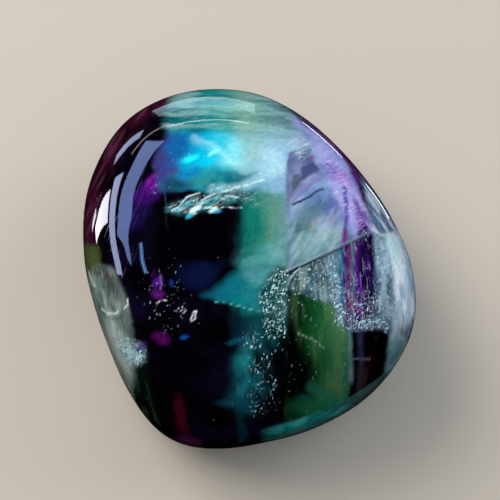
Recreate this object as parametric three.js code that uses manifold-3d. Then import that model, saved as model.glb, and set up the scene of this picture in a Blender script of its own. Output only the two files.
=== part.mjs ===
// A tumbled pebble of rainbow fluorite, lying on the flat that was worn on its underside.
// Millimetres, +Z up, the origin under the middle of the stone. +X is the stone's right and +Y its far end.
import * as THREE from "three";
import { mergeVertices } from "three/addons/utils/BufferGeometryUtils.js";
import Module from "manifold-3d";

// The stone before tumbling: rough faces round a middle point. bearing turns from +X towards +Y, slope is
// how far the face looks up from level, both in degrees, and reach is its distance from the middle.
const ROUGH_FACES = [
  { side: "right flank", bearing: -5, slope: 5, reach: 20.0 },
  { side: "far right flank", bearing: 40, slope: 10, reach: 18.0 },
  { side: "far left flank", bearing: 130, slope: 0, reach: 21.0 },
  { side: "left flank", bearing: 170, slope: 5, reach: 17.0 },
  { side: "near left flank", bearing: 205, slope: 0, reach: 14.0 },
  { side: "near flank", bearing: 260, slope: 0, reach: 20.0 },
  { side: "near right flank", bearing: 300, slope: 0, reach: 18.5 },
  { side: "top", bearing: 150, slope: 85, reach: 10.5 },
  { side: "underside", bearing: 0, slope: -90, reach: 10.5 },
  { side: "left shoulder", bearing: 170, slope: 45, reach: 17.0 },
  { side: "far shoulder", bearing: 90, slope: 40, reach: 18.0 },
  { side: "right shoulder", bearing: 30, slope: 45, reach: 16.5 },
  { side: "near shoulder", bearing: 280, slope: 40, reach: 18.0 },
  { side: "left under edge", bearing: 175, slope: -40, reach: 17.0 },
  { side: "far under edge", bearing: 90, slope: -40, reach: 18.0 },
  { side: "right under edge", bearing: 0, slope: -45, reach: 16.5 },
  { side: "near under edge", bearing: 275, slope: -40, reach: 18.0 },
];
const TUMBLING = 6; // how far the faces were worn into each other: a low number is a rounder stone
const WORN_FLAT = 0.4; // depth of the flat that the stone lies on, below which it is worn away
const FACET_RINGS = 15; // rows of small triangles between two corners of the starting icosahedron

const STONE_COLOUR = 0x1f4a52;
const POLISH_ROUGHNESS = 0.06;

// The outward normal of each rough face, divided by its reach.
const FACE_PULLS = ROUGH_FACES.map(({ bearing, slope, reach }) => {
  const fromPole = THREE.MathUtils.degToRad(90 - slope);
  const turn = THREE.MathUtils.degToRad(bearing);
  const normal = new THREE.Vector3(
    Math.sin(fromPole) * Math.cos(turn),
    Math.sin(fromPole) * Math.sin(turn),
    Math.cos(fromPole),
  );
  return normal.divideScalar(reach);
});

// Distance from the middle to the worn surface: the faces met by a direction are summed as a power mean,
// which follows each face where it is alone and rounds it off where another begins.
function reachAlong(direction) {
  const pulls = FACE_PULLS.map((pull) => Math.max(pull.dot(direction), 0));
  const sum = pulls.reduce((total, pull) => total + pull ** TUMBLING, 0);
  return 1 / sum ** (1 / TUMBLING);
}

// The rounded stone: an even ball of small triangles, each corner moved out to the worn surface.
function roundedStone() {
  const ball = new THREE.IcosahedronGeometry(1, FACET_RINGS);
  ball.deleteAttribute("normal");
  ball.deleteAttribute("uv");
  const stone = mergeVertices(ball, 1e-5);
  const corners = stone.getAttribute("position");
  const corner = new THREE.Vector3();
  for (let i = 0; i < corners.count; i += 1) {
    corner.fromBufferAttribute(corners, i).normalize();
    corner.multiplyScalar(reachAlong(corner));
    corners.setXYZ(i, corner.x, corner.y, corner.z);
  }
  stone.computeBoundingBox();
  return stone;
}

// What was ground away from below: a block whose top is the flat.
function wornAwayBelow(stone) {
  const size = stone.boundingBox.getSize(new THREE.Vector3());
  const block = new THREE.BoxGeometry(size.x * 2, size.y * 2, size.z);
  block.deleteAttribute("normal");
  block.deleteAttribute("uv");
  block.translate(0, 0, stone.boundingBox.min.z + WORN_FLAT - size.z / 2);
  return mergeVertices(block);
}

const wasm = await Module();
wasm.setup();

function solidFrom(geometry) {
  const mesh = new wasm.Mesh({
    numProp: 3,
    vertProperties: geometry.getAttribute("position").array,
    triVerts: new Uint32Array(geometry.index.array),
  });
  return new wasm.Manifold(mesh);
}

function geometryFrom(solid) {
  const mesh = solid.getMesh();
  const geometry = new THREE.BufferGeometry();
  geometry.setAttribute("position", new THREE.BufferAttribute(mesh.vertProperties, 3));
  geometry.setIndex(new THREE.BufferAttribute(mesh.triVerts, 1));
  return geometry;
}

// Puts the middle of the stone's outline over the origin and its flat at height 0.
function setDown(geometry) {
  geometry.computeBoundingBox();
  const { min, max } = geometry.boundingBox;
  geometry.translate(-(min.x + max.x) / 2, -(min.y + max.y) / 2, -min.z);
  geometry.computeVertexNormals();
  return geometry;
}

const rounded = roundedStone();
const worn = solidFrom(rounded).subtract(solidFrom(wornAwayBelow(rounded)));

const stone = new THREE.Mesh(
  setDown(geometryFrom(worn)),
  new THREE.MeshStandardMaterial({
    color: STONE_COLOUR,
    roughness: POLISH_ROUGHNESS,
    metalness: 0,
  }),
);
stone.name = "fluorite_stone";

const pebble = new THREE.Group();
pebble.add(stone);

export default pebble;
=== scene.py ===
"""A tumbled pebble of rainbow fluorite: polished, partly clear, with purple, blue, teal and green bands."""

import itertools
import math

import bpy
import numpy as np
from mathutils import Matrix, Vector


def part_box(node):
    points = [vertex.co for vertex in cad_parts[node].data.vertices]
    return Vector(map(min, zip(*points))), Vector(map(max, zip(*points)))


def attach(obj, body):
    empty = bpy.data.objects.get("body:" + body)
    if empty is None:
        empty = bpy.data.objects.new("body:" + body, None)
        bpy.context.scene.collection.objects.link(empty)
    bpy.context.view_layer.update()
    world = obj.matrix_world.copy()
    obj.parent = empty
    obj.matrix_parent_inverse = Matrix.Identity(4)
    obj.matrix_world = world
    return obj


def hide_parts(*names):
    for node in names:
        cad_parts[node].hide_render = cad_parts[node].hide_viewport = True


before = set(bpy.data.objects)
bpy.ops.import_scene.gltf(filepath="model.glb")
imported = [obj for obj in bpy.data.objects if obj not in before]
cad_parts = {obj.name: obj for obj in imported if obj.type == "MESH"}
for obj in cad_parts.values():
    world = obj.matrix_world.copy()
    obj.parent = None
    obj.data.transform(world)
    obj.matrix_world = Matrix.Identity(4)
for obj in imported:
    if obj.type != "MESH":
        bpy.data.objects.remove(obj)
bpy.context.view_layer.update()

STONE = "fluorite_stone"
MM = 0.001

# The rough stone's faces: bearing from +X towards +Y, slope above level, and reach from the middle, in
# degrees and millimetres.
ROUGH_FACES = [
    (-5, 5, 20.0),
    (40, 10, 18.0),
    (130, 0, 21.0),
    (170, 5, 17.0),
    (205, 0, 14.0),
    (260, 0, 20.0),
    (300, 0, 18.5),
    (150, 85, 10.5),
    (0, -90, 10.5),
    (170, 45, 17.0),
    (90, 40, 18.0),
    (30, 45, 16.5),
    (280, 40, 18.0),
    (175, -40, 17.0),
    (90, -40, 18.0),
    (0, -45, 16.5),
    (275, -40, 18.0),
]
TUMBLING = 6  # the power of the mean that wears the faces into each other
WORN_FLAT = 0.4  # millimetres worn off the underside

FLUORITE_IOR = 1.434
ABSORPTION = 20.0  # for each metre of the clear crystal
POLISH_DEPTH = 0.01  # millimetres, of a polish mark of height 1
BAND_LEAN = 66.0  # degrees above level of the line on which the bands run inwards; it leans to the near side
SHELL_STEPS = 129  # squares along each edge of the starting cube
SHELL_LIFT = 0.2  # how far the starting ball's points are drawn to the top, where the bands are finest
FINE_MARKS = ("grains", "cracks", "strands", "threads")  # strands run up the stone and threads across it

# Hand polishing leaves the surface slightly uneven.
RIPPLE_HEIGHT = 0.05  # millimetres
RIPPLE_LENGTH = 0.06  # of the stone's size, for one radian of a wave
RIPPLE_WAVES = np.array([(1, 0.3, 0.2), (-0.4, 1, 0.1), (0.2, -0.3, 1), (0.7, 0.6, -0.5), (-0.6, 0.5, 0.8)])

# Odd numbers that make chance out of whole numbers, and the top of its range.
HASH_FACTORS = np.array([73856093, 19349663, 83492791])
HASH_SALT = 961748941
HASH_TOP = 0xFFFFFF

# The studio, in metres where no other unit is said.
FLOOR_HALF = 1.5
LIGHT_REACH = 0.5  # from the stone to each light
LIT_HEIGHT = 0.015  # of the point in the stone that every light looks at
SKY_STRENGTH = 0.7
LENS = 100  # millimetres, with a sensor 36 wide
SENSOR = 36
NEAREST_SEEN = 0.01
CAMERA_REACH = 0.1389  # from the seen point to the camera
SEEN_POINT = (0.31, 1.23, 10.07)  # millimetres


# Places and directions


def heading(bearing, slope):
    """Unit vectors that turn by bearing from +X towards +Y and look up by slope, both in degrees."""
    turn, up = np.radians(bearing), np.radians(slope)
    return np.stack([np.cos(up) * np.cos(turn), np.cos(up) * np.sin(turn), np.sin(up)], -1)


def worn_reach(directions):
    """Distance from the middle to the worn surface: 1 over the power mean of each face's pull, which is the
    cosine between the direction and the face's normal, over the face's reach."""
    faces = np.array(ROUGH_FACES, float)
    pulls = heading(faces[:, 0], faces[:, 1]) / faces[:, 2:3]
    met = np.maximum(directions @ pulls.T, 0)
    return 1 / (met**TUMBLING).sum(-1) ** (1 / TUMBLING)


def cube_ball(steps):
    """Directions and faces of a ball made from a cube: on each of six sides a point is (1, tan a, tan b),
    with a and b even from -45 to 45 degrees, scaled to length 1. Points along shared edges are one point."""
    even = np.tan(np.linspace(-math.pi / 4, math.pi / 4, steps + 1))
    a, b = np.meshgrid(even, even, indexing="ij")
    one = np.ones_like(a)
    sides = [(one, a, b), (-one, b, a), (b, one, a), (a, -one, b), (a, b, one), (b, a, -one)]
    points = np.concatenate([np.stack(side, -1).reshape(-1, 3) for side in sides])
    row, column = np.meshgrid(np.arange(steps), np.arange(steps), indexing="ij")
    corner = (row * (steps + 1) + column).ravel()
    square = np.stack([corner, corner + steps + 1, corner + steps + 2, corner + 1], 1)
    squares = np.concatenate([square + side * (steps + 1) ** 2 for side in range(len(sides))])
    kept, index = np.unique(np.round(points, 9), axis=0, return_inverse=True)
    return kept / np.linalg.norm(kept, axis=1)[:, None], index.ravel()[squares]


def mesh_piece(name, points, faces, material):
    """A smooth mesh object from points in metres and faces as rows of point numbers."""
    mesh = bpy.data.meshes.new(name)
    mesh.from_pydata(points.tolist(), [], faces.tolist())
    mesh.polygons.foreach_set("use_smooth", np.ones(len(mesh.polygons), bool))
    mesh.materials.append(material)
    mesh.update()
    piece = bpy.data.objects.new(name, mesh)
    bpy.context.scene.collection.objects.link(piece)
    return piece


# Shader maths


class Wire:
    """A node's output. Adding, taking away and multiplying wires and numbers adds Math nodes."""

    def __init__(self, bench, socket):
        self.bench = bench
        self.socket = socket

    def maths(self, operation, first, second):
        """The output of a Math node."""
        return self.bench.node("Math", {"operation": operation}, {0: first, 1: second})

    def output(self, name):
        """Another output of the same node."""
        return Wire(self.bench, self.socket.node.outputs[name])

    def __add__(self, other):
        return self.maths("ADD", self, other)

    def __sub__(self, other):
        return self.maths("SUBTRACT", self, other)

    def __rsub__(self, other):
        return self.maths("SUBTRACT", other, self)

    def __mul__(self, other):
        return self.maths("MULTIPLY", self, other)

    def __or__(self, other):
        return self.maths("MAXIMUM", self, other)

    __radd__ = __add__
    __rmul__ = __mul__


class Bench:
    """One material's nodes."""

    def __init__(self, name):
        self.material = bpy.data.materials.new(name)
        self.material.use_nodes = True
        self.tree = self.material.node_tree
        self.tree.nodes.clear()

    def node(self, kind, settings=None, sockets=None):
        """Adds a node: its settings first, then the value or the wire of each of its sockets."""
        made = self.tree.nodes.new("ShaderNode" + kind)
        for key, value in (settings or {}).items():
            setattr(made, key, value)
        for key, value in (sockets or {}).items():
            if isinstance(value, Wire):
                self.tree.links.new(value.socket, made.inputs[key])
            else:
                made.inputs[key].default_value = value
        return Wire(self, made.outputs[0]) if made.outputs else None

    def places(self, turn, length, width):
        """Coordinates in which a thing 1 across is length long, turn degrees from across, and width wide."""
        lean = Matrix.Rotation(math.radians(90 - BAND_LEAN), 3, "X")
        rotation = (lean @ Matrix.Rotation(math.radians(turn), 3, "Z")).to_euler()
        scale = (length * MM, width * MM, 2 * length * MM)
        origin = self.node("TexCoord").output("Object")
        sockets = {"Vector": origin, "Rotation": rotation, "Scale": scale}
        return self.node("Mapping", {"vector_type": "TEXTURE"}, sockets)

    def rise(self, value, start, end):
        """0 before start and 1 after end, or the other way round when end is lower."""
        low, high, flip = (start, end, False) if start < end else (end, start, True)
        results = {"To Min": 1.0 if flip else 0.0, "To Max": 0.0 if flip else 1.0}
        sockets = {"Value": value, "From Min": low, "From Max": high, **results}
        return self.node("MapRange", {"clamp": True}, sockets)

    def noise(self, turn, length, width, detail=3.0):
        """Noise from about 0.25 to 0.75 in streaks of that length and width."""
        sockets = {"Vector": self.places(turn, length, width), "Scale": 1.0, "Detail": detail}
        return self.node("TexNoise", None, sockets)

    def cells(self, turn, length, width, feature="F1"):
        """Broken cells of that length and width: the distance to a cell's middle or to its edge."""
        sockets = {"Vector": self.places(turn, length, width), "Scale": 1.0}
        return self.node("TexVoronoi", {"feature": feature}, sockets)

    def strewn(self, turn, size, stretch, radius, share):
        """Grains of that radius, each as bright as chance has it, in a share of the cells of that size."""
        near = self.cells(turn, size * stretch, size)
        luck = self.node("SeparateColor", None, {0: near.output("Color")})
        shape = self.rise(near, radius / size * 1.3, radius / size * 0.5)
        return shape * self.rise(share - luck, 0.0, 0.05) * luck.output("Green")

    def shards(self, turn, length, width, share):
        """Flat shards, each as bright as chance has it, in a share of the cells of that length and width."""
        luck = self.node("SeparateColor", None, {0: self.cells(turn, length, width).output("Color")})
        bright = luck.output("Green") * luck.output("Green") * 0.9 + 0.1
        return self.rise(share - luck, 0.0, 0.05) * bright

    def shattered(self, turn, length, width, line):
        """Thin lines along the edges of broken cells."""
        return self.rise(self.cells(turn, length, width, "DISTANCE_TO_EDGE"), line / width, 0.0)

    def blend(self, mask, below, above):
        """Colour above over colour below by the mask."""
        mixed = self.node("Mix", {"data_type": "RGBA"}, {"Factor": mask, 6: below, 7: above})
        return mixed.output(2)

    def finish(self, surface, **others):
        """The finished material, with its surface and any other shader joined to the output."""
        self.node("OutputMaterial", None, {"Surface": surface, **others})
        return self.material


# The stone's painting, worked out for every point of its surface at once. A place is (across, along) in
# millimetres: across is +X, and along is the way up the stone for someone who looks down the line that the
# growth bands lean on. Each band runs inwards on that line. A stroke's numbers are its place, its sizes in
# millimetres and its turn in degrees, and what multiplies a mask is its strength.


def tint(code):
    """A colour from its screen code, such as #1f6fa5, as the linear values that shaders use."""
    parts = [int(code[i : i + 2], 16) / 255 for i in (1, 3, 5)]
    return tuple(c / 12.92 if c <= 0.04045 else ((c + 0.055) / 1.055) ** 2.4 for c in parts) + (1.0,)


def ramp(values, stops):
    """The colour of each value, blended between stops of value and colour code."""
    places = [place for place, _ in stops]
    channels = zip(*(tint(code)[:3] for _, code in stops))
    return np.stack([np.interp(values, places, channel) for channel in channels], -1)


def smooth(values, start, end):
    """0 before start and 1 after end, with a soft rise between, or the other way round when end is lower."""
    share = np.clip((values - start) / (end - start), 0, 1)
    return share * share * (3 - 2 * share)


def chance(cells, salt):
    """A number from 0 to 1 for each row of whole numbers: their products with odd numbers, folded and cut."""
    mixed = (cells * HASH_FACTORS).sum(-1) + salt * HASH_SALT
    mixed = (mixed ^ (mixed >> 13)) * HASH_FACTORS[0]
    mixed = mixed ^ (mixed >> 16)
    return (mixed & HASH_TOP) / HASH_TOP


def noise(places, octaves=3):
    """Noise from 0 to 1 with lumps about 1 across: chances on a lattice, blended smoothly between its
    corners, plus the same at half the size and half the strength for each further octave."""
    total, whole = 0.0, 0.0
    for octave in range(octaves):
        fine = places * 2.0**octave
        cell = np.floor(fine).astype(np.int64)
        part = fine - cell
        part = part * part * (3 - 2 * part)
        for corner in itertools.product((0, 1), repeat=3):
            share = np.where(np.array(corner) == 1, part, 1 - part).prod(-1)
            total = total + share * chance(cell + np.array(corner), octave) * 0.5**octave
        whole += 0.5**octave
    return total / whole


class Painting:
    """Colour and clearness of the stone's points, laid on in layers, and how much of each fine mark they
    bear. Masks take the places in one of three ways: flat as they are, crisp slightly moved, or soft wavy."""

    def __init__(self, points):
        """Points are rows in millimetres."""
        lean = math.radians(BAND_LEAN)
        self.across = points[:, 0]
        self.along = points @ np.array([0, math.sin(lean), math.cos(lean)])
        self.inward = points @ np.array([0, -math.cos(lean), math.sin(lean)])
        self.height = points[:, 2]
        self.flat = np.stack([self.across, self.along], -1)
        self.colour = np.zeros((len(points), 3))
        self.clearness = np.zeros(len(points))
        self.marks = {kind: np.zeros(len(points)) for kind in FINE_MARKS}
        self.cloud = self.lumps(0, 2.4, 2.4, 4)
        self.grain = self.lumps(40, 0.7, 0.5, 3)
        self.drift = self.across + (self.cloud - 0.5) * 1.6
        self.crisp = self.shifted(0.3, 0.7)
        self.soft = self.shifted(1.6, 2.6)

    def lumps(self, turn, length, width, octaves=3):
        """Noise in lumps of that length, turned from across, and of that width, twice as long inwards."""
        cos, sin = math.cos(math.radians(turn)), math.sin(math.radians(turn))
        long_way = (self.across * cos + self.along * sin) / length
        wide_way = (self.along * cos - self.across * sin) / width
        return noise(np.stack([long_way, wide_way, self.inward / (2 * length)], -1) + turn, octaves)

    def shifted(self, amount, size):
        """The places, each moved by noise of that size by up to half the amount."""
        wander = [self.lumps(turn, size, size) - 0.5 for turn in (20, 110)]
        return self.flat + amount * np.stack(wander, -1)

    def fibres(self, turn, length, width, low=0.42, high=0.6):
        """Streaks of that length and width: 0 where the noise is below low and 1 where it is above high."""
        return smooth(self.lumps(turn, length, width), low, high)

    def blob(self, centre, half, turn=0.0, edge=1.0, at=None):
        """A soft ellipse: 1 at its centre and 0 past its half sizes, by the squared distance from there."""
        cos, sin = math.cos(math.radians(turn)), math.sin(math.radians(turn))
        x, y = ((self.soft if at is None else at) - np.array(centre)).T
        far = ((x * cos + y * sin) / half[0]) ** 2 + ((y * cos - x * sin) / half[1]) ** 2
        return smooth(far, 1.0, (1.0 - edge) ** 2)

    def plate(self, corners, edge=0.4, at=None):
        """A convex area between corners, given counterclockwise: the product of soft steps over its sides."""
        places = self.crisp if at is None else at
        mask = 1.0
        for start, end in zip(corners, corners[1:] + corners[:1]):
            side = np.subtract(end, start)
            inward = np.array([-side[1], side[0]]) / np.hypot(*side)
            mask = mask * smooth((places - np.array(start)) @ inward, -edge / 2, edge / 2)
        return mask

    def streak(self, start, end, width, edge=1.0, at=None):
        """A line between two places: the distance to its nearest point, faded towards half its width."""
        line = np.subtract(end, start)
        offset = (self.crisp if at is None else at) - np.array(start)
        share = np.clip(offset @ line / (line @ line), 0, 1)
        far = np.linalg.norm(offset - share[:, None] * line, axis=1)
        return smooth(far, width / 2, width / 2 * (1 - edge))

    def path(self, places, width, edge=1.0, at=None):
        """Streaks from each place to the next."""
        return np.max([self.streak(*ends, width, edge, at) for ends in zip(places, places[1:])], axis=0)

    def lay(self, mask, colour, clearness=None):
        """Lays a colour, a code or one for each point, where the mask is, and a clearness if one is given."""
        over = np.array(tint(colour)[:3]) if isinstance(colour, str) else colour
        self.colour = self.colour + mask[:, None] * (over - self.colour)
        if clearness is not None:
            self.clearness = self.clearness + mask * (clearness - self.clearness)

    def clouded(self, dark, middle, pale, spread=0.15):
        """Three colours that follow the cloud, from dark in its low parts to pale in its high ones."""
        return ramp(self.cloud, [(0.5 - spread, dark), (0.5, middle), (0.5 + spread, pale)])

    def mark(self, kind, mask):
        """Strews a fine mark where the mask is."""
        self.marks[kind] = np.maximum(self.marks[kind], mask)

    def across_ramp(self, stops):
        """Colours between stops of place across the stone, moved about a little by the cloud."""
        return ramp(self.drift, stops)


def paint_dark_heart(paint):
    """The near black purple that most of the left half is made of, with what glows in it."""
    lay, blob = paint.lay, paint.blob
    paint.colour = ramp(paint.cloud, [(0.35, "#020103"), (0.55, "#05030b"), (0.75, "#0b061c")])
    sparkle = smooth(paint.grain, 0.35, 0.6)
    # Violet depths and a blue slit at the far end.
    lay(blob((-10.2, 8.8), (1.5, 3.0), -22), "#150a3c")
    lay(blob((-9.4, 10.8), (2.0, 1.2), 32), "#300a5c")
    lay(blob((-8.9, 11.6), (1.5, 0.8), 32) * (sparkle * 0.7 + 0.2), "#7c1ea4")
    lay(paint.streak((-7.75, 10.8), (-7.3, 7.0), 0.22, at=paint.crisp), "#1c3c54")
    # A purple figure, a painted blue reflection on its left and a magenta spot below.
    lay(blob((-7.8, 2.2), (0.7, 1.4), 8) * (sparkle * 0.8 + 0.1), "#481478")
    lay(paint.path([(-7.9, 2.9), (-7.75, 2.2), (-7.9, 1.7)], 0.24) * 0.7, "#8c64b4")
    # Painted reflection: a thin blue strip of mirrored light on the dark crystal.
    lay(paint.path([(-9.8, 5.8), (-9.6, 4.2), (-9.25, 3.2)], 0.36, at=paint.flat), "#5c84c0")
    lay(blob((-6.4, 2.2), (0.3, 0.8), 12) * 0.8, "#142c6c")
    lay(blob((-7.8, 1.0), (0.9, 0.6)) * sparkle, "#4c1464")
    lay(blob((-7.8, -2.7), (1.1, 0.8), -22) * (sparkle * 0.5 + 0.6), "#440850")
    lay(blob((-5.6, -2.6), (0.55, 0.24), 10, at=paint.crisp), "#103c88")
    # Faint blue and green haze, and wine red at the near end.
    lay(blob((-4.6, 3.3), (1.9, 2.4), 20), "#070d2c")
    lay(blob((-2.2, 6.0), (1.6, 2.6), 10), "#041822")
    lay(blob((-6.1, -9.8), (0.8, 2.8), 8), "#3c0418")
    lay(blob((-5.6, -13.0), (1.5, 1.2), -20), "#3c1438")
    paint.mark("grains", blob((-7.2, 1.0), (3.4, 4.6)) * 0.12)
    paint.mark("grains", blob((-9.0, 11.4), (1.4, 0.8), 32) * 0.15)


def paint_wine_rim(paint):
    """The dark wine rim at the far left, with a black inner side and a grey brown outer edge."""
    lay = paint.lay
    side = smooth(paint.across, -6.6, -8.6) * smooth(paint.along, 4.9, 5.6)
    rim = side * smooth(paint.height, 18.3, 16.4)
    lay(rim, paint.clouded("#12040c", "#280818", "#360c26"))
    lay(rim * paint.fibres(62, 4.0, 0.6, 0.52, 0.66) * 0.5, "#573048")
    lay(side * smooth(paint.height, 15.0, 13.6), "#33201c")
    lay(side * smooth(paint.height, 14.2, 12.6), "#120a12")


def paint_clear_wedge(paint):
    """The clear grey green wedge at the near left, with a ring crack and a whitish crackle."""
    lay = paint.lay
    corners = [(-18, 4.4), (-18, -14), (-11.2, -14), (-10.1, -4.6), (-11.2, 0.8), (-12.6, 3.4)]
    wedge = paint.plate(corners, 1.1)
    grey = paint.clouded("#4c6662", "#789896", "#a8c0c2", 0.18)
    lay(wedge, grey, 0.5)
    lay(wedge * paint.fibres(100, 2.5, 0.4) * 0.5, "#c8d6d4", 0.3)
    lay(wedge * paint.blob((-12.0, 2.2), (2.4, 1.7), -50) * 0.85, "#303c3c", 0.5)
    lay(wedge * paint.blob((-10.9, -0.6), (1.3, 3.0)) * 0.85, "#1c3834", 0.3)
    lay(wedge * paint.blob((-12.6, 3.4), (3.0, 1.5), -10) * 0.8, "#3c3634", 0.2)
    lay(paint.blob((-15.4, 4.2), (1.9, 1.7)), "#55663a", 0.4)
    striae = paint.plate([(-10.4, -4.9), (-11.0, -8.0), (-10.4, -12.0), (-8.0, -12.0), (-8.9, -4.9)], 0.9)
    lay(striae, "#070e0a", 0.1)
    lay(striae * paint.fibres(98, 2.5, 0.3, 0.5, 0.62) * 0.7, "#24442c", 0.2)
    # The ring crack, with its shadow and two loose pieces of it.
    ring = [(-13.6, -0.3), (-12.8, -0.75), (-12.1, -0.65), (-11.6, -0.4)]
    lay(paint.path(ring, 0.24), "#f0f6f4", 0.0)
    lay(paint.path([(x + 0.2, y - 0.5) for x, y in ring], 0.6) * 0.6, "#3c4a44", 0.4)
    lay(paint.path([(-11.3, -0.2), (-10.9, 0.1), (-10.85, 0.7)], 0.22) * 0.8, "#e4ecea", 0.0)
    lay(paint.path([(-15.2, 3.2), (-14.7, 2.2), (-14.3, 1.8)], 0.24), "#e8efec", 0.0)
    lay(wedge * paint.blob((-12.8, -4.4), (2.6, 4.6), 20), "#b0c0c0", 0.2)
    paint.mark("strands", wedge * 0.3)
    crackle = paint.blob((-10.5, -3.9), (1.7, 1.6), -25, 0.9)
    lay(crackle * 0.7, "#54707c", 0.1)
    paint.mark("cracks", crackle)
    paint.mark("grains", crackle)
    lay(paint.blob((-9.7, -3.2), (0.8, 0.7)) * 0.8, "#3c2468", 0.0)


def paint_glow(paint):
    """The blue, cyan and whitish glow at the far end, with teal below it."""
    lay, blob = paint.lay, paint.blob
    corners = [(-8.4, 11.2), (4.4, 9.9), (5.6, 17.6), (-7.4, 17.6), (-8.9, 13.6)]
    glow = paint.plate(corners, 0.9, at=paint.soft)
    stops = [(-8.8, "#34386c"), (-7.8, "#333c7c"), (-7.0, "#284c90"), (-6.2, "#125c9c"), (-5.2, "#0a88bc")]
    stops += [(-3.8, "#0aaed2"), (-2.2, "#38c0da"), (-0.6, "#66c2d6"), (1.4, "#84bcd4"), (3.9, "#7ca0c6")]
    lay(glow, paint.across_ramp(stops))
    lay(glow * blob((-6.6, 15.4), (1.7, 1.5), 60), "#0e5c9a")
    lay(glow * blob((-7.4, 12.2), (1.8, 1.0), 20), "#3a3480")
    teal = paint.clouded("#065864", "#0a7484", "#148c98")
    lay(glow * smooth(paint.along, 16.0, 17.1) * smooth(paint.across, 1.0, -2.0), teal)
    under = paint.clouded("#06485c", "#0a6878", "#268690")
    lay(glow * blob((-3.2, 11.2), (6.2, 2.6), 4), under)
    lay(glow * blob((-6.6, 10.8), (2.2, 1.8)) * 0.9, "#0c2c50")
    lay(glow * blob((-5.4, 12.6), (1.6, 0.8), 20) * 0.8, "#0a78b4")
    # The bright cyan heart of the glow.
    lay(blob((-4.3, 14.2), (2.9, 1.2), 24) * (paint.fibres(26, 2.6, 0.6) * 0.5 + 0.5), "#06c4ea")
    lay(blob((-5.3, 13.9), (1.1, 0.4), 18, at=paint.crisp), "#1ee6ff")
    lay(blob((-3.2, 14.5), (0.9, 0.3), 30, at=paint.crisp) * 0.8, "#8cf8ff")
    # Whitish cloud on its right.
    pale = paint.fibres(40, 2.2, 0.9, 0.3, 0.6) * 0.6 + 0.3
    lay(blob((-1.2, 14.6), (2.6, 1.8), 20) * pale * 0.8, "#86e2ee")
    lay(blob((1.6, 13.6), (3.0, 2.0), -10) * pale, "#a4d4e8")
    lay(blob((3.4, 15.6), (2.8, 1.6), -30) * pale, "#94c0d8")
    lay(blob((1.0, 11.6), (2.0, 0.8), 10) * 0.5, "#8cc0d6")
    lay(paint.streak((-5.0, 16.2), (0.0, 12.6), 1.2, at=paint.soft) * 0.25, "#c8fbff")
    paint.mark("grains", glow * 0.05)


def paint_far_rim(paint):
    """The teal rim at the far end: darker streaks run along it, and a pale green light crosses its middle."""
    lay = paint.lay
    blend = smooth(paint.across, -3.0, 1.0)
    far = smooth(paint.along, 16.7 - 2.4 * blend, 17.3 + 1.2 * blend) * smooth(paint.across, -8.6, -7.4)
    stops = [(-8.5, "#0c4c58"), (-6.0, "#107078"), (-3.0, "#1c8c90"), (-1.4, "#50a49c"), (-0.4, "#7ab4a0")]
    stops += [(1.0, "#76aca4"), (3.0, "#80acb4"), (5.0, "#6c94a4"), (6.5, "#587488")]
    lay(far, paint.across_ramp(stops), 0.1)
    lay(far * paint.fibres(2, 5.0, 0.5, 0.5, 0.66) * 0.5, "#0c5058")
    lay(far * paint.fibres(-3, 4.0, 0.5, 0.52, 0.66) * 0.4, "#a4d0d0")
    lay(paint.streak((-0.6, 21.0), (0.6, 14.0), 3.4, at=paint.soft) * 0.5, "#82aca0")
    lay(smooth(paint.height, 14.5, 12.0) * far, "#0c4c50", 0.2)
    paint.mark("threads", far * 0.08)


def paint_vein(paint):
    """The healed fracture across the stone: broken, sparkling shards with black below them."""
    lay, blob = paint.lay, paint.blob
    dark = paint.plate([(-7.4, 4.0), (-1.3, 3.6), (-0.9, 8.6), (-7.6, 9.6)], 1.2, at=paint.soft)
    lay(dark, "#020205")
    route = [(-7.0, 9.0), (-5.2, 9.3), (-3.0, 9.7), (-1.0, 10.0), (0.6, 10.0)]
    vein = paint.path(route, 1.9, at=paint.soft)
    stops = [(0.35, "#041c28"), (0.5, "#0a4c5c"), (0.62, "#0e6c78"), (0.75, "#2c8c94")]
    lay(vein, ramp(paint.grain, stops))
    lay(vein * paint.fibres(28, 1.6, 0.4, 0.5, 0.6) * 0.6, "#020a10")
    lay(vein * paint.fibres(24, 1.3, 0.3, 0.56, 0.68) * 0.5, "#4cacb4")
    paint.mark("cracks", vein * 0.4)
    paint.mark("threads", vein * 0.5)
    paint.mark("grains", vein * 0.35)
    upper = paint.path([(-3.2, 10.8), (-0.6, 10.9), (1.4, 12.0), (3.5, 12.8)], 1.5, at=paint.soft)
    lay(upper * 0.35, "#a8d4e2")
    paint.mark("grains", upper * 0.5)
    paint.mark("cracks", upper * 0.25)
    # The broken edges that catch the light.
    glint = smooth(paint.grain, 0.4, 0.52)
    for edge in (
        [(-7.0, 8.9), (-6.4, 9.3), (-5.6, 10.2), (-4.4, 10.6)],
        [(-4.3, 9.9), (-2.6, 10.6), (-0.2, 11.3), (1.6, 11.8)],
        [(-2.0, 10.3), (-0.9, 10.2), (0.5, 9.6)],
        [(-3.9, 9.2), (-2.0, 9.2), (-0.5, 9.1)],
        [(-5.3, 8.6), (-4.2, 9.6)],
    ):
        lay(paint.path(edge, 0.24) * (glint * 0.7 + 0.2), "#c8eef2")
    # Two brilliant shards, each white with blue below it, and an orange spark.
    lay(blob((-4.8, 8.95), (0.9, 0.45), 35, at=paint.crisp) * glint, "#d4f4f8")
    lay(blob((-5.2, 8.4), (0.6, 0.28), 30, 0.8, at=paint.crisp) * 0.8, "#35b8d8")
    lay(blob((-3.0, 8.95), (0.75, 0.3), 20, at=paint.crisp) * glint, "#c4f4f8")
    lay(blob((-2.5, 8.75), (0.6, 0.24), -10, 0.9) * 0.8, "#2890bc")
    lay(blob((-2.85, 9.3), (0.26, 0.13), 10, 0.8, at=paint.crisp), "#f2b04a")


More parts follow.
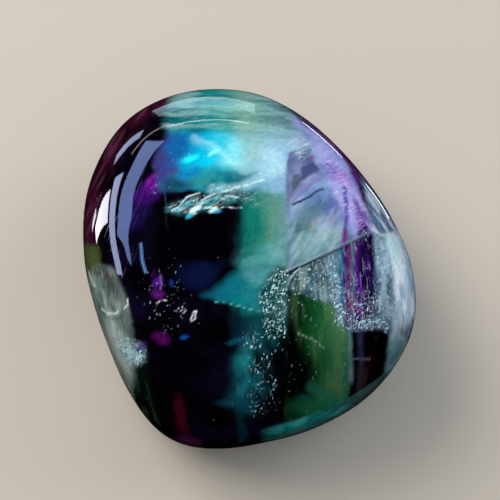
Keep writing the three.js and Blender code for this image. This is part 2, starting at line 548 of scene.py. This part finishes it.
def paint_teal_column(paint):
    """The green and teal column down the middle, paler where it meets the cloudy part."""
    lay, blob = paint.lay, paint.blob
    column = paint.plate([(-0.9, -0.3), (4.2, -1.6), (4.2, 10.8), (-0.6, 10.2)], 1.2, at=paint.soft)
    stops = [(-0.9, "#083c3c"), (0.2, "#0e6058"), (1.2, "#2c7c6c"), (2.2, "#54887c")]
    stops += [(3.0, "#5c8c8c"), (3.8, "#668e98")]
    lay(column, paint.across_ramp(stops), 0.05)
    lay(column * blob((0.6, 7.6), (1.6, 2.4)) * 0.8, "#0c6a5c")
    lay(column * blob((2.4, 8.4), (1.8, 2.6), 10) * 0.4, "#5c8c80")
    cloudy = paint.fibres(20, 1.8, 0.9, 0.34, 0.62)
    lay(blob((1.4, 4.3), (3.4, 1.6), 8) * (cloudy * 0.5 + 0.1), "#589ea8")
    lay(blob((3.2, 5.2), (1.6, 1.4)) * cloudy * 0.7, "#7cb0bc")
    lay(column * paint.fibres(85, 2.2, 0.4) * 0.25, "#0c8c84")
    paint.mark("grains", column * 0.05)


def paint_teal_wedge(paint):
    """The teal wedge that runs left from the column, a dark blue haze above it and mottled teal below it."""
    lay, blob = paint.lay, paint.blob
    lay(blob((-3.6, 2.9), (2.2, 0.9), 25) * 0.8, "#071234")
    corners = [(-4.5, 1.15), (-2.8, 0.6), (2.4, -0.45), (3.0, 4.0), (-0.4, 4.2), (-3.0, 2.5)]
    wedge = paint.plate(corners, 0.6) * smooth(paint.soft @ np.array([-0.45, 0.9]), 3.5, 2.0)
    stops = [(-4.4, "#06344a"), (-2.6, "#0a5c70"), (-0.6, "#086e78"), (0.6, "#1c787e"), (2.6, "#347884")]
    lay(wedge, paint.across_ramp(stops))
    lay(wedge * paint.fibres(14, 1.8, 0.6) * 0.5, "#0b6474")
    lay(wedge * blob((1.0, 3.0), (1.9, 1.1), 10) * 0.5, "#5c9ca4")
    lay(paint.path([(-2.9, 0.62), (-0.6, 0.18), (1.9, -0.4)], 0.16) * 0.8, "#5cb4b4")
    # The dim teal right below the wedge.
    broken = paint.fibres(88, 1.6, 0.7, 0.36, 0.6)
    corners = [(-1.9, -3.4), (2.8, -3.4), (3.2, -0.5), (0.0, 0.0), (-1.9, -0.4)]
    under = paint.plate(corners, 1.6, at=paint.soft) * (broken * 0.5 + 0.5)
    stops = [(-2.0, "#010204"), (-1.0, "#051a2a"), (0.6, "#083c46"), (3.0, "#0a4044")]
    lay(under, paint.across_ramp(stops))
    lay(blob((-0.9, -3.1), (1.6, 0.35), 3) * 0.7, "#0b4a60")
    # The mottled strip that goes on to the near end.
    corners = [(-1.4, -9.6), (1.6, -9.6), (2.0, -1.6), (-0.9, -2.2)]
    strip = paint.plate(corners, 2.0, at=paint.soft) * (broken * 0.7 + 0.3)
    mottle = smooth(paint.cloud, 0.4, 0.6)
    lay(strip * (mottle * 0.7 + 0.2), "#0a4c58")
    lay(strip * blob((-0.3, -4.4), (1.2, 1.8)) * (mottle * 0.4 + 0.5), "#14767e")
    lay(strip * blob((-0.1, -7.4), (1.1, 2.0), 10) * (mottle * 0.4 + 0.5), "#126c7c")
    paint.mark("strands", strip * 0.05)
    lay(paint.plate([(-2.8, -8.5), (0.6, -9.8), (0.9, -8.4), (-0.6, -8.0)], 0.6) * 0.7, "#08485a")
    lay(paint.streak((-0.5, -9.5), (-0.2, -12.6), 1.2, at=paint.soft) * 0.6, "#06323c")


def paint_milky_part(paint):
    """The pale, cloudy right half: grey blue, cut by cleavage planes, with golden light in its middle."""
    lay, blob = paint.lay, paint.blob
    whole = paint.plate([(4.0, -3.0), (20, -14), (20, 14.0), (3.9, 13.4)], 1.0)
    whole = np.maximum(whole, smooth(paint.drift, 4.4, 7.2) * smooth(paint.along, 12.4, 13.6))
    high = paint.clouded("#5a76b0", "#7896cc", "#98b6e6", 0.18)
    low = paint.clouded("#4c7484", "#6a929e", "#88aab4", 0.18)
    lay(whole, high, 0.2)
    lay(whole * smooth(paint.along + (paint.cloud - 0.5) * 6, 9.8, 7.0), low)
    lay(whole * blob((5.6, 8.6), (1.9, 1.6), 40) * 0.7, "#587c8c")
    lay(whole * blob((5.8, 5.6), (2.8, 1.6), 28) * 0.7, "#80b0b8")
    lay(whole * blob((8.3, 8.6), (1.5, 2.0)) * 0.8, "#5c6cb4")
    # Golden and pinkish light in its middle.
    gold = blob((7.0, 7.0), (2.0, 2.0), 40) * paint.fibres(62, 1.8, 0.34, 0.5, 0.66)
    lay(gold * 0.55, ramp(paint.grain, [(0.35, "#b4ac84"), (0.5, "#c8ccb4"), (0.65, "#b49cac")]))
    lay(whole * paint.fibres(60, 2.6, 0.5, 0.54, 0.7) * 0.35, "#bcd2e4")
    # The slate wedge below the long crack.
    grey = paint.plate([(3.9, 1.8), (7.9, 0.0), (8.3, 0.6), (8.5, 5.2), (3.9, 3.1)], 0.3)
    lay(grey, paint.clouded("#16323c", "#28505e", "#4c7484"), 0.1)
    lay(grey * blob((8.0, 3.4), (1.5, 2.6), 10) * 0.8, "#7090a4")
    lay(grey * paint.fibres(80, 1.4, 0.35, 0.5, 0.64) * 0.45, "#94b0bc")
    lay(grey * paint.fibres(74, 1.2, 0.26, 0.56, 0.66) * 0.25, "#a8a484")
    lay(grey * blob((6.0, 2.6), (1.2, 0.9)) * 0.7, "#24485a", 0.3)
    paint.mark("strands", grey * 0.3)
    paint.mark("grains", grey * 0.3)


def paint_lavender_facets(paint):
    """Lavender cleavage facets above the milky part, one dark blue and one grey green."""
    lay, blob = paint.lay, paint.blob
    facet = paint.plate([(3.6, 9.4), (7.2, 12.2), (6.4, 15.2), (3.9, 14.4)], 0.3)
    lay(facet, paint.clouded("#5a6690", "#727eaa", "#949ec8"), 0.1)
    lay(paint.plate([(4.9, 11.4), (6.9, 12.9), (6.3, 13.7), (5.2, 13.2)], 0.35) * 0.85, "#2c3c70")
    lay(paint.plate([(5.4, 13.2), (6.4, 13.8), (5.9, 15.0), (5.0, 14.4)], 0.5) * 0.6, "#404c80")
    lay(paint.plate([(4.2, 10.6), (5.0, 11.2), (5.0, 12.4), (4.4, 12.4)], 0.3) * 0.8, "#40525e")
    lay(paint.plate([(4.0, 9.6), (4.4, 9.7), (7.5, 12.3), (7.0, 12.7)], 0.3), "#7c84bc")
    lay(blob((5.4, 15.6), (2.0, 1.6), -30) * 0.5, "#a0b4dc")
    broken = blob((5.2, 15.0), (1.7, 1.6))
    paint.mark("cracks", broken * 0.7)
    paint.mark("threads", broken * 0.6)
    lay(paint.streak((3.75, 13.2), (3.85, 8.2), 0.3, at=paint.flat) * 0.25, "#3c5684")
    lay(paint.path([(4.3, 9.5), (5.6, 10.05), (7.1, 11.0)], 0.4), "#1c2840")


def paint_rainbow_stripes(paint):
    """Purple, magenta, blue and sea green stripes that run down the right of the milky part."""
    lay, blob = paint.lay, paint.blob
    area = paint.plate([(7.8, -2.0), (12.0, -2.0), (11.8, 6.9), (8.0, 5.1)], 0.3)
    slant = paint.across - paint.along * 0.05 + (paint.grain - 0.5) * 0.5
    stops = [(7.8, "#547488"), (8.15, "#4c7484"), (8.4, "#2c5c84"), (8.6, "#283078"), (8.85, "#2c0850")]
    stops += [(9.1, "#681050"), (9.3, "#3c4878"), (9.5, "#3c6874"), (9.75, "#4c2470"), (10.0, "#34105c")]
    stops += [(10.2, "#1a053c"), (11.1, "#120430"), (11.4, "#1c0c40"), (11.8, "#40587c")]
    lay(area, ramp(slant, stops), 0.05)
    # Sea green, magenta and purple strands in the stripes.
    green = blob((8.5, 1.4), (0.9, 3.4), 0, 0.9) * paint.fibres(93, 2.0, 0.24, 0.5, 0.6)
    lay(area * green * 0.5, "#5cb4b8")
    magenta = blob((9.2, 1.2), (0.8, 3.0), 0, 0.9) * paint.fibres(91, 1.6, 0.2, 0.52, 0.64)
    lay(area * magenta * 0.6, "#8c2474")
    lay(area * blob((10.6, 0.2), (1.2, 1.7)) * paint.fibres(86, 0.9, 0.24, 0.48, 0.58), "#742490")
    lay(area * blob((10.8, 2.0), (0.8, 3.0)) * paint.fibres(90, 2.0, 0.4, 0.44, 0.58) * 0.7, "#4c1488")
    paint.mark("strands", area * 0.3)
    paint.mark("grains", area * (smooth(paint.along, 3.0, -1.0) * 0.5 + 0.1))


def paint_right_shoulder(paint):
    """A painted lavender reflection, pink and purple streaks along the far right shoulder, and a mauve outer
    rim.
    """
    lay, blob = paint.lay, paint.blob
    corners = [(7.4, 12.4), (9.0, 5.6), (11.9, 6.9), (11.6, 9.4), (9.8, 13.8), (6.0, 18.2), (6.4, 14.8)]
    # Painted reflection: the lavender haze and the pale band laid over it are mirrored light on the shoulder.
    haze = paint.plate(corners, 0.9)
    lay(haze, paint.clouded("#665eb0", "#8480d0", "#a6a2e8"), 0.05)
    lay(haze * paint.fibres(-50, 3.0, 0.5, 0.48, 0.64) * 0.6, "#a8a8e4")
    lay(paint.path([(4.8, 18.0), (7.4, 15.8), (9.8, 12.6)], 1.5), "#9aa2e4")
    # The purple stripes that run on into the shoulder.
    lay(paint.path([(9.3, 11.2), (9.35, 9.4), (9.15, 7.4), (8.95, 5.4)], 0.7) * 0.9, "#46209a")
    lay(paint.path([(9.1, 7.0), (8.95, 5.2)], 0.7), "#741888")
    lay(paint.path([(10.2, 9.8), (10.8, 8.4), (11.15, 6.8)], 0.8) * 0.9, "#74249c")
    pink = paint.path([(6.2, 13.9), (7.6, 13.4), (8.8, 12.0)], 0.6) * paint.fibres(-40, 1.2, 0.3)
    lay(pink, "#8a2c84")
    # Its dark purple outer side, with a painted pink and lavender reflection across it.
    lay(paint.path([(10.4, 12.9), (11.1, 11.2), (11.5, 9.4), (12.0, 7.7)], 1.7), "#4c1470")
    lay(paint.path([(11.0, 11.4), (11.5, 9.4), (11.9, 7.9)], 0.9), "#28063c")
    lay(paint.plate([(9.9, 6.0), (11.5, 6.6), (11.2, 7.6), (10.6, 7.9)], 0.5), "#2c0a5c")
    lay(paint.streak((10.25, 8.2), (10.7, 7.3), 0.6) * 0.8, "#8c2a9c")
    lay(paint.streak((9.4, 12.0), (12.0, 7.2), 0.8, at=paint.soft) * 0.45, "#b8b4ec")
    lay(blob((9.6, 12.0), (1.2, 0.8), -40) * 0.7, "#b084dc")
    # The mauve rim.
    outside = smooth(paint.height, 17.0, 15.8) * smooth(paint.across, 4.6, 5.6)
    rim = outside * smooth(paint.along, 6.8, 8.4)
    lay(rim, paint.clouded("#4c2c68", "#704884", "#9478a4"), 0.15)
    lay(rim * paint.fibres(-48, 3.0, 0.5, 0.48, 0.62) * 0.8, "#4c1060")
    lay(paint.streak((4.6, 19.2), (5.9, 17.6), 1.0) * 0.8, "#1c3034")
    paint.mark("threads", haze * 0.3)
    paint.mark("cracks", haze * 0.2)
    paint.mark("grains", haze * 0.12)


def paint_clear_edge(paint):
    """The clear, glassy right edge with pale strands and painted highlights in it, and its grey lower end."""
    lay, blob = paint.lay, paint.blob
    corners = [(13.3, -14), (20, -14), (20, 7.2), (12.1, 7.2), (12.0, -0.2), (13.3, -1.6)]
    clear = paint.plate(corners, 0.7)
    lay(clear, paint.clouded("#8cb0d8", "#b4d2f2", "#dcf2ff", 0.18), 0.05)
    lay(clear * blob((12.7, 1.6), (0.9, 3.0), 6) * 0.8, "#4c6c94", 0.2)
    lay(clear * paint.fibres(98, 2.6, 0.5, 0.5, 0.66) * 0.9, "#e4f0fc", 0.1)
    lay(clear * paint.fibres(96, 1.6, 0.5, 0.5, 0.38) * 0.4, "#4c6c90", 0.1)
    # Painted highlights: pale white blue light on the glassy edge.
    lay(clear * blob((13.9, 4.6), (1.1, 3.4), 12) * 0.8, "#e4f6ff", 0.0)
    lay(blob((13.5, 5.4), (1.1, 1.7), 10) * 0.9, "#c0ecf8", 0.1)
    # Darker and clearer towards the near end.
    lay(clear * smooth(paint.along, -0.4, -3.0), "#5c7484", 0.4)
    lay(clear * smooth(paint.along, -2.6, -4.4), "#48585c", 0.5)
    lay(clear * smooth(paint.along, -3.6, -6.4) * 0.7, "#443c34", 0.5)
    # The slate patch between the stripes and the edge.
    slate = paint.plate([(11.8, -1.2), (13.3, -1.4), (13.5, 4.0), (12.8, 6.2), (11.9, 6.2)], 0.7)
    lay(slate * 0.9, paint.clouded("#2c4864", "#486884", "#7c9cb8"))
    lay(slate * paint.fibres(88, 1.2, 0.3, 0.5, 0.6) * 0.6, "#bcd0e4")
    paint.mark("cracks", slate * 0.2)
    paint.mark("grains", slate * 0.6)
    # The glassy piece above the long crack.
    corners = [(11.9, 6.9), (14.6, 6.9), (13.2, 10.0), (11.2, 12.4), (11.4, 10.0)]
    glass = paint.plate(corners, 0.6)
    lay(glass, "#6484ac", 0.35)
    lay(glass * paint.fibres(-60, 2.4, 0.3, 0.5, 0.6) * 0.8, "#cfe4f4", 0.1)
    lay(paint.path([(11.6, 7.2), (12.6, 6.6), (14.2, 6.9)], 0.22) * 0.8, "#dfeaf0", 0.0)
    # The flank below the edge is clearer still.
    lay(clear * smooth(paint.height, 12.0, 8.0) * 0.8, "#86a4b4", 0.5)
    paint.mark("strands", np.maximum(clear, glass) * smooth(paint.height, 8.0, 12.0) * 0.45)
    paint.mark("cracks", clear * smooth(paint.along, -3.0, 0.0) * 0.3)


def paint_green_band(paint):
    """The green band at the near right: black green on its left, olive on its right, then a teal strip."""
    lay, blob = paint.lay, paint.blob
    band = paint.plate([(3.6, 1.9), (3.6, -14), (9.8, -14), (9.6, -8.3), (9.15, -1.9), (7.9, 0.2)], 0.5)
    stops = [(3.9, "#04140a"), (4.8, "#052a12"), (6.0, "#0e4420"), (7.0, "#1c5430"), (8.0, "#3a6c44")]
    stops += [(8.6, "#4c704c"), (8.9, "#2a6a4c"), (9.3, "#185c4c"), (9.7, "#0c3c38")]
    lay(band, paint.across_ramp(stops), 0.1)
    lay(band * paint.fibres(88, 3.0, 0.6) * 0.25, "#5c8054")
    # Its black left side.
    lay(band * smooth(paint.across, 4.8, 3.9) * smooth(paint.along, 0.6, -1.8), "#010602")
    lay(band * blob((4.4, -5.6), (2.4, 3.6), 15), "#010402")
    lay(band * blob((3.8, -3.0), (1.8, 2.8), 20, 0.9), "#010302")
    # Green and teal light at its near end.
    lay(band * blob((7.0, -9.8), (4.0, 2.6), -10) * 0.85, "#16603e")
    lay(band * blob((4.2, -10.2), (1.6, 1.3), -20) * 0.8, "#03301c")
    lay(band * paint.streak((5.6, -6.6), (8.6, -9.6), 1.4, at=paint.soft) * 0.6, "#1c6c58")
    lay(band * blob((5.4, -7.9), (0.9, 0.6)) * 0.7, "#0c4c50")
    paint.mark("grains", band * paint.streak((4.2, 1.2), (8.0, -0.2), 1.8) * 0.25)
    paint.mark("grains", band * 0.06)


def paint_dark_bands(paint):
    """The black purple bands below the ledge, with a paler stripe between them."""
    lay, blob = paint.lay, paint.blob
    low = paint.plate([(9.25, -1.4), (9.7, -8.4), (10.2, -14), (12.9, -14), (13.2, -1.4)], 0.7)
    lay(low, "#020105", 0.0)
    stripe = paint.streak((10.2, -1.6), (10.6, -8.0), 1.1)
    lay(low * stripe * 0.7, paint.across_ramp([(9.6, "#101426"), (10.3, "#303450"), (11.0, "#201c2c")]))
    lay(low * blob((10.6, -6.6), (0.7, 1.8)) * 0.7, "#2c2028")
    lay(low * blob((11.3, -4.8), (0.7, 1.0)) * 0.7, "#200410")
    lay(low * paint.streak((9.7, -4.6), (11.2, -4.75), 0.2) * 0.3, "#c8b4e0")


def paint_near_rim(paint):
    """The teal rim low at the near right, painted bright with light that comes through the stone, grey
    outside.
    """
    lay = paint.lay
    low = smooth(paint.height, 12.6, 11.4) * smooth(paint.along, -6.0, -7.6)
    right = smooth(paint.across, 1.0, 3.6)
    # Painted light: the rim's own teal, made bright where light comes through the stone and out at its lower
    # edge.
    lay(low * right, paint.clouded("#085c5c", "#10807c", "#34a09c"), 0.1)
    lay(smooth(paint.height, 9.4, 8.4) * low * right, "#39645c", 0.2)
    lay(smooth(paint.height, 7.6, 6.6) * low, "#1c3c3c", 0.2)
    lay(low * smooth(paint.across, 8.6, 10.4) * 0.8, "#40484a", 0.3)
    paint.mark("threads", low * right * 0.12)


def paint_ledge(paint):
    """The granular silvery ledge where a healed plane ends, and the grains that rise from its left end."""
    lay = paint.lay
    corners = [(7.9, -1.4), (9.3, -2.0), (13.4, -2.0), (13.4, -0.2), (11.2, -0.9), (8.9, -0.7)]
    ledge = paint.plate(corners, 0.5, at=paint.soft)
    left = paint.path([(8.1, 2.6), (8.2, 0.6), (8.4, -1.2)], 1.3)
    area = np.maximum(ledge, left)
    lay(area * 0.6, "#4c5c84")
    paint.mark("grains", area)
    paint.mark("cracks", area * 0.6)
    upper = paint.plate([(9.6, -1.2), (13.4, -1.2), (13.4, 1.2), (9.8, 1.2)], 1.4)
    lay(upper * 0.3, "#0c0618")
    paint.mark("grains", upper * 0.6)
    paint.mark("cracks", upper * 0.2)


def paint_specks(paint):
    """Bright specks of the healed fractures, dense in the middle and fewer below, and small cracks."""
    lay = paint.lay
    corners = [(1.3, -1.8), (3.6, -2.4), (3.7, 3.3), (2.2, 3.2), (1.2, 1.6)]
    patch = paint.plate(corners, 0.8, at=paint.soft)
    lay(patch * 0.85, ramp(paint.cloud, [(0.35, "#031c20"), (0.6, "#083438")]))
    paint.mark("grains", patch * 0.8)
    trail = paint.path([(2.6, -1.4), (2.4, -4.6), (1.4, -8.6)], 3.6)
    paint.mark("grains", trail * paint.fibres(70, 1.2, 0.8, 0.4, 0.56) * 0.6)
    paint.mark("grains", paint.path([(0.6, -2.6), (0.9, -9.4)], 2.4) * 0.45)
    lay(paint.path([(-8.2, 0.35), (-7.8, 0.6), (-7.3, 0.6)], 0.16), "#c4b8cc")
    lay(paint.path([(-6.1, -0.1), (-5.7, -0.5), (-5.4, -0.2), (-5.8, 0.1)], 0.15), "#b0b0b8")
    loop = [(-4.95, -1.1), (-4.75, -0.4), (-4.5, -0.3), (-4.6, -1.0), (-4.9, -1.2)]
    lay(paint.path(loop, 0.15), "#d8d8e0")
    lay(paint.path([(4.5, -2.2), (5.8, -2.7), (7.0, -3.6)], 0.15) * 0.5, "#a8c8b4")


def paint_cleavage_lines(paint):
    """The long cleavage crack across the right half, dark with a pale edge, and black by the specks."""
    lay = paint.lay
    crack = [(3.4, 3.0), (5.3, 3.85), (8.6, 5.4), (11.3, 6.6)]
    lay(paint.path([(x, y + 0.25) for x, y in crack], 0.3, at=paint.flat) * 0.5, "#a4b4cc")
    lay(paint.path(crack, 0.34, 0.8, at=paint.flat), "#101c30", 0.0)
    lay(paint.path([(3.2, 3.0), (4.0, 3.1), (4.6, 3.7), (4.0, 2.2), (3.9, 1.8)], 0.3), "#020406")
    lay(paint.path([(3.9, 2.6), (4.3, 3.2), (4.9, 3.6)], 0.2) * 0.8, "#dfe8e4")


def painted(points):
    """The stone's colours with its clearness as alpha, and its fine marks, as two arrays of four channels."""
    paint = Painting(points / MM)
    for layer in (
        paint_dark_heart,
        paint_glow,
        paint_far_rim,
        paint_wine_rim,
        paint_vein,
        paint_teal_column,
        paint_teal_wedge,
        paint_milky_part,
        paint_lavender_facets,
        paint_right_shoulder,
        paint_clear_edge,
        paint_rainbow_stripes,
        paint_green_band,
        paint_dark_bands,
        paint_near_rim,
        paint_clear_wedge,
        paint_ledge,
        paint_specks,
        paint_cleavage_lines,
    ):
        layer(paint)
    colours = np.concatenate([paint.colour, paint.clearness[:, None]], 1)
    return colours, np.stack([paint.marks[kind] for kind in FINE_MARKS], 1)


def add_channels(mesh, name, channels):
    """Keeps four channels for each point of a mesh."""
    kept = mesh.color_attributes.new(name, "FLOAT_COLOR", "POINT")
    kept.data.foreach_set("color", channels.astype(np.float32).ravel())


def polish_marks(bench):
    """The height of the polish, where 1 is the polish depth: shallow pits, long faint scratches and wear."""
    pits = bench.strewn(15, 0.9, 1.0, 0.07, 0.35) * -1.0
    scratches = bench.rise(bench.noise(70, 6.0, 0.1), 0.66, 0.72) * -0.2
    wear = bench.noise(0, 0.25, 0.25) * 0.15
    return pits + scratches + wear


def streaked(bench, colour, turn, share):
    """The colour with fine dark and pale streaks at that turn, as strong as their share."""
    streaks = bench.noise(turn, 1.2, 0.2, 5.0)
    darker = bench.blend(bench.rise(streaks, 0.46, 0.36) * share * 0.5, colour, tint("#06070e"))
    return bench.blend(bench.rise(streaks, 0.55, 0.66) * share * 0.6, darker, tint("#e4eef6"))


def crumbs(bench, share):
    """The grains of healed fractures: crumbs in two sizes, and single dust grains everywhere."""
    large = bench.shards(80, 0.22, 0.11, share * 0.3)
    small = bench.shards(35, 0.17, 0.1, share * 0.22)
    dust = bench.strewn(20, 0.7, 1.3, 0.05, 0.16) * 0.6
    return large | small | dust


def cracked(bench, share):
    """Shiny broken shards that lie two ways, and the thin lines of cracks."""
    rising = bench.shards(30, 0.6, 0.13, share * 0.28)
    falling = bench.shards(-25, 0.45, 0.12, share * 0.18)
    lines = bench.shattered(32, 1.1, 0.42, 0.05)
    return ((rising | falling) * 0.8) | (lines * share * 0.4)


def banded_fluorite():
    """Polished fluorite: the painted colours with fine streaks, crumbs and cracks, as clear crystal and as
    milky or dark crystal, mixed by the painted clearness. The inside takes a little light away."""
    bench = Bench("banded_fluorite")
    painted_colour = bench.node("Attribute", {"attribute_name": "painting"})
    marks = bench.node("Attribute", {"attribute_name": "fine_marks"})
    shares = bench.node("SeparateColor", None, {0: marks})  # red, green, blue and alpha follow FINE_MARKS

    mottle = bench.rise(bench.noise(30, 0.5, 0.3), 0.6, 0.35) * 0.15
    colour = bench.blend(mottle, painted_colour, tint("#000000"))
    colour = streaked(bench, colour, 95, shares.output("Blue"))
    colour = streaked(bench, colour, 24, marks.output("Alpha"))
    colour = bench.blend(crumbs(bench, shares.output("Red")), colour, tint("#b4e0e4"))
    shine = cracked(bench, shares.output("Green"))
    colour = bench.blend(shine, colour, tint("#bce0ec"))
    clearness = painted_colour.output("Alpha") * (1.0 - shine)

    bump = {"Strength": 0.5, "Distance": POLISH_DEPTH * MM, "Height": polish_marks(bench)}
    glassy = {"Base Color": colour, "IOR": FLUORITE_IOR, "Normal": bench.node("Bump", None, bump)}
    clear = bench.node("BsdfPrincipled", None, {**glassy, "Roughness": 0.02, "Transmission Weight": 1.0})
    milky = bench.node("BsdfPrincipled", None, {**glassy, "Roughness": 0.03})
    depth = bench.node("VolumeAbsorption", None, {"Color": tint("#c8e4ea"), "Density": ABSORPTION})
    return bench.finish(bench.node("MixShader", None, {0: clearness, 1: milky, 2: clear}), Volume=depth)


def ripples(directions):
    """The unevenness that hand polishing leaves: a sum of sine waves over the directions, in millimetres."""
    waves = RIPPLE_WAVES / RIPPLE_LENGTH
    total = sum(np.sin(directions @ wave + turn) for turn, wave in enumerate(waves))
    return RIPPLE_HEIGHT * total / len(waves)


def polished_stone(material):
    """The stone's surface: the middle plus each direction, drawn to the top, times its worn reach and the
    ripples, cut flat below and fitted to the solid's box. It carries its painting."""
    directions, squares = cube_ball(SHELL_STEPS)
    directions = directions + np.array([0, 0, SHELL_LIFT])
    directions = directions / np.linalg.norm(directions, axis=1)[:, None]
    points = directions * (worn_reach(directions) + ripples(directions))[:, None]
    points[:, 2] = np.maximum(points[:, 2], points[:, 2].min() + WORN_FLAT)
    low, high = points.min(0), points.max(0)
    box_low, box_high = (np.array(corner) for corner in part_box(STONE))
    fitted = box_low + (points - low) / (high - low) * (box_high - box_low)
    stone = mesh_piece("polished_stone", fitted, squares, material)
    for name, channels in zip(("painting", "fine_marks"), painted(fitted)):
        add_channels(stone.data, name, channels)
    return stone


# The studio


def plain(name, colour, roughness):
    """A material of one colour."""
    bench = Bench(name)
    sockets = {"Base Color": colour, "Roughness": roughness}
    return bench.finish(bench.node("BsdfPrincipled", None, sockets))


def studio_floor():
    """The pale floor, which no highlight on the stone shows."""
    corners = np.array([(-1, -1, 0), (1, -1, 0), (1, 1, 0), (-1, 1, 0)]) * FLOOR_HALF
    floor = mesh_piece("floor", corners, np.array([[0, 1, 2, 3]]), plain("pale_floor", tint("#bab4aa"), 0.8))
    floor.visible_glossy = False


def aimed(place, target, roll=0.0):
    """A placing at place whose -Z axis looks at target, with its Y axis upwards before it rolls."""
    away = (place - target).normalized()
    turn = away.to_track_quat("Z", "Y").to_matrix().to_4x4()
    return Matrix.Translation(place) @ turn @ Matrix.Rotation(math.radians(roll), 4, "Z")


def soft_light(name, bearing, slope, size, radiance, code, roll=0.0):
    """A flat light that looks at the stone. Seen from there it is as wide and as high as size, in degrees."""
    wide, high = (2 * LIGHT_REACH * math.tan(math.radians(angle) / 2) for angle in size)
    data = bpy.data.lights.new(name, "AREA")
    data.shape = "RECTANGLE"
    data.size, data.size_y = wide, high
    data.energy = radiance * math.pi * wide * high
    data.color = tint(code)[:3]
    light = bpy.data.objects.new(name, data)
    target = Vector((0, 0, LIT_HEIGHT))
    light.matrix_world = aimed(target + LIGHT_REACH * Vector(heading(bearing, slope)), target, roll)
    light.visible_camera = False
    bpy.context.scene.collection.objects.link(light)
    return light


def studio_lights():
    """Two lights and a pale room light the stone, and panes and strips only draw its highlights."""
    lamps = [
        soft_light("key", 150, 50, (38, 38), 6.4, "#fff6ea"),
        soft_light("fill", 20, 35, (36, 36), 2.4, "#eaf2ff"),
    ]
    for light in lamps:
        light.visible_glossy = False
    highlights = [
        soft_light("left_strip_low", 152, 1, (7, 32), 20.0, "#f4f2ff", 20),
        soft_light("left_strip_high", 148, 25, (22, 9), 13.0, "#c4d2ff", 24),
        soft_light("left_pane", 132, 35, (27, 11), 11.0, "#8fa6ea", 20),
        soft_light("left_top_strip", 128, 9, (19, 5), 10.0, "#b4c4f0", -42),
        soft_light("left_thin_strip", 119, 22, (17, 1.2), 6.0, "#e8c8dc", -5),
        soft_light("left_low_line", 152, -20, (1.6, 13), 10.0, "#e8e4f4", 10),
        soft_light("far_band", 96, -2, (30, 20), 3.2, "#b0d4ea"),
        soft_light("far_line", 98, 25, (24, 1.2), 9.0, "#e6f6f6"),
        soft_light("right_line", 66, -36, (8, 1.4), 9.0, "#e4e4ff", 30),
        soft_light("right_low_line", 57, -46, (5, 1.4), 9.0, "#d8f4ff", 30),
    ]
    for light in highlights:
        light.visible_diffuse = False
        light.visible_transmission = False
    world = bpy.data.worlds.new("pale_room")
    world.use_nodes = True
    sky = world.node_tree.nodes["Background"]
    sky.inputs["Color"].default_value = tint("#e6e8ec")
    sky.inputs["Strength"].default_value = SKY_STRENGTH
    world.cycles_visibility.glossy = False
    bpy.context.scene.world = world


def studio_camera():
    """The camera looks down the line that the bands lean on."""
    data = bpy.data.cameras.new("camera")
    data.lens = LENS
    data.sensor_width = SENSOR
    data.clip_start = NEAREST_SEEN
    camera = bpy.data.objects.new("camera", data)
    target = Vector(SEEN_POINT) * MM
    away = Vector(heading(-90, BAND_LEAN))
    camera.matrix_world = aimed(target + away * CAMERA_REACH, target)
    bpy.context.scene.collection.objects.link(camera)
    bpy.context.scene.camera = camera


stone = polished_stone(banded_fluorite())
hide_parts(STONE)
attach(stone, "root")
studio_floor()
studio_lights()
studio_camera()
bpy.context.scene.view_settings.view_transform = "Standard"
